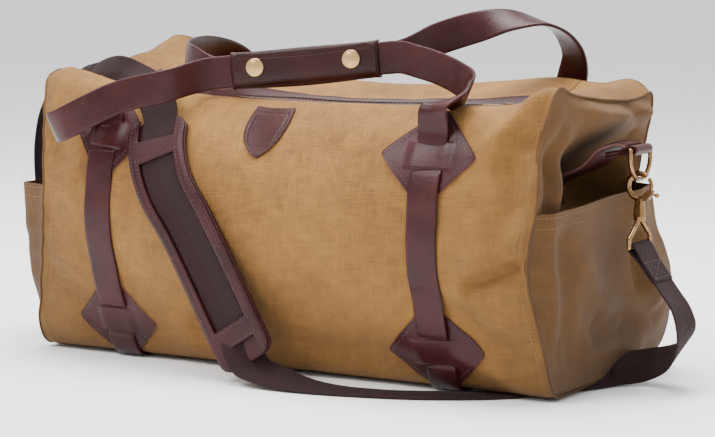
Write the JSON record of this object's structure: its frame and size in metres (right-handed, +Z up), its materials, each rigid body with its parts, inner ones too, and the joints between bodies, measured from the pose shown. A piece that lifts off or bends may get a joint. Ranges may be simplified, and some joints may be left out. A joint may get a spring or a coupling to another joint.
{
  "type": "duffel_bag",
  "caption": "Waxed canvas travel duffel with slotted leather patches, woven strap trim, wrapped carry grip, zipped mouth and a padded shoulder strap on swivel snap hooks.",
  "frame": {"origin": "Middle of the resting face under the bag", "axes": "+X along the bag, towards the end where the closed zip slider is, +Y to the back, away from the badge, +Z up"},
  "size_m": [0.7796, 0.3644, 0.3741],
  "materials": {
    "canvas": "waxed",
    "leather_trim": "semi_gloss",
    "badge_leather": "semi_gloss",
    "handle_leather": "semi_gloss",
    "tape": "matte",
    "webbing": "matte",
    "zip_brass": "polished",
    "fitting_brass": "brushed"
  },
  "bodies": {
    "bag": {"front_panel": "canvas", "back_panel": "canvas", "bottom_panel": "canvas", "left_gusset": "canvas", "right_gusset": "canvas", "left_end_pocket": "canvas", "right_end_pocket": "canvas", "top_ends": "canvas", "zip_end_tabs": "leather_trim", "front_left_strap": "leather_trim", "front_right_strap": "leather_trim", "back_left_strap": "leather_trim", "back_right_strap": "leather_trim", "front_upper_patches": "leather_trim", "front_lower_patches": "leather_trim", "back_upper_patches": "leather_trim", "back_lower_patches": "leather_trim", "base_straps": "leather_trim", "end_patches": "leather_trim", "chapes": "leather_trim", "shoulder_pad": "leather_trim", "badge": "badge_leather", "front_handle_left": "handle_leather", "front_handle_right": "handle_leather", "back_handle_left": "handle_leather", "back_handle_right": "handle_leather", "strap_in_pad": "webbing", "strap_over_top": "webbing", "strap_left_loop": "webbing", "strap_floor_run": "webbing", "strap_right_rise": "webbing"},
    "front_mouth": {"front_mouth_flap": "canvas", "front_zip_facing": "leather_trim", "front_zip_tape": "tape", "front_zip_teeth": "zip_brass"},
    "back_mouth": {"back_mouth_flap": "canvas", "back_zip_facing": "leather_trim", "back_zip_tape": "tape", "back_zip_teeth": "zip_brass"},
    "slider": {"zip_slider": "zip_brass"},
    "pull": {"zip_pull": "zip_brass"},
    "grip": {"grip_wrap": "handle_leather", "snap_studs": "fitting_brass", "handle_cores": "handle_leather"},
    "flap": {"grip_flap": "handle_leather", "snap_caps": "fitting_brass"},
    "right_ring": {"right_d_ring": "fitting_brass", "right_swivel_eye": "fitting_brass", "right_strap_fold": "webbing"},
    "right_snap": {"right_hook": "fitting_brass", "right_gate_pin": "fitting_brass"},
    "right_gate": {"right_hook_gate": "fitting_brass"},
    "left_ring": {"left_d_ring": "fitting_brass", "left_swivel_eye": "fitting_brass", "left_strap_fold": "webbing"},
    "left_snap": {"left_hook": "fitting_brass", "left_gate_pin": "fitting_brass"},
    "left_gate": {"left_hook_gate": "fitting_brass"}
  },
  "joints": [
    {"name": "front_mouth_open", "type": "hinge", "parent": "bag", "child": "front_mouth", "pos_m": [0, -0.0902, 0.2685], "axis": [-1, 0, 0], "range_deg": [0, 45], "deforming": ["front_zip_tape", "front_zip_teeth"]},
    {"name": "back_mouth_open", "type": "hinge", "parent": "bag", "child": "back_mouth", "pos_m": [0, 0.0902, 0.2685], "axis": [1, 0, 0], "range_deg": [0, 45], "deforming": ["back_zip_tape", "back_zip_teeth"]},
    {"name": "zip_slide", "type": "slide", "parent": "bag", "child": "slider", "axis": [-1, 0, 0], "range_m": [0, 0.37]},
    {"name": "pull_lift", "type": "hinge", "parent": "slider", "child": "pull", "pos_m": [0.1965, 0, 0.2633], "axis": [0, 1, 0], "range_deg": [0, 150]},
    {"name": "grip_lift", "type": "slide", "parent": "bag", "child": "grip", "axis": [0, 0, 1], "range_m": [0, 0.06], "deforming": ["front_handle_left", "front_handle_right", "back_handle_left", "back_handle_right"]},
    {"name": "grip_unsnap", "type": "hinge", "parent": "grip", "child": "flap", "pos_m": [0.01001, -0.07702, 0.28318], "axis": [0.9493, 0.2993, 0.0958], "range_deg": [0, 100]},
    {"name": "right_ring_swing", "type": "hinge", "parent": "bag", "child": "right_ring", "pos_m": [0.335, 0, 0.228], "axis": [0, -1, 0], "range_deg": [-12, 50], "deforming": ["strap_right_rise"]},
    {"name": "right_snap_swivel", "type": "hinge", "parent": "right_ring", "child": "right_snap", "pos_m": [0.335, 0, 0.16495], "axis": [0, 0, 1], "range_deg": [-35, 35]},
    {"name": "right_gate_open", "type": "hinge", "parent": "right_snap", "child": "right_gate", "pos_m": [0.34559, 0, 0.18757], "axis": [0, -1, 0], "range_deg": [0, 12], "stiffness_Nm_per_rad": 0.05, "springref_deg": -11.46},
    {"name": "left_ring_swing", "type": "hinge", "parent": "bag", "child": "left_ring", "pos_m": [-0.335, 0, 0.228], "axis": [0, 1, 0], "range_deg": [-12, 50], "deforming": ["strap_left_loop"]},
    {"name": "left_snap_swivel", "type": "hinge", "parent": "left_ring", "child": "left_snap", "pos_m": [-0.335, 0, 0.16495], "axis": [0, 0, 1], "range_deg": [-35, 35]},
    {"name": "left_gate_open", "type": "hinge", "parent": "left_snap", "child": "left_gate", "pos_m": [-0.34559, 0, 0.18757], "axis": [0, 1, 0], "range_deg": [0, 12], "stiffness_Nm_per_rad": 0.05, "springref_deg": -11.46}
  ],
  "couplings": [
    {"joint": "front_mouth_open", "follows": "zip_slide", "rad_per_m": 2.1227},
    {"joint": "back_mouth_open", "follows": "zip_slide", "rad_per_m": 2.1227}
  ]
}
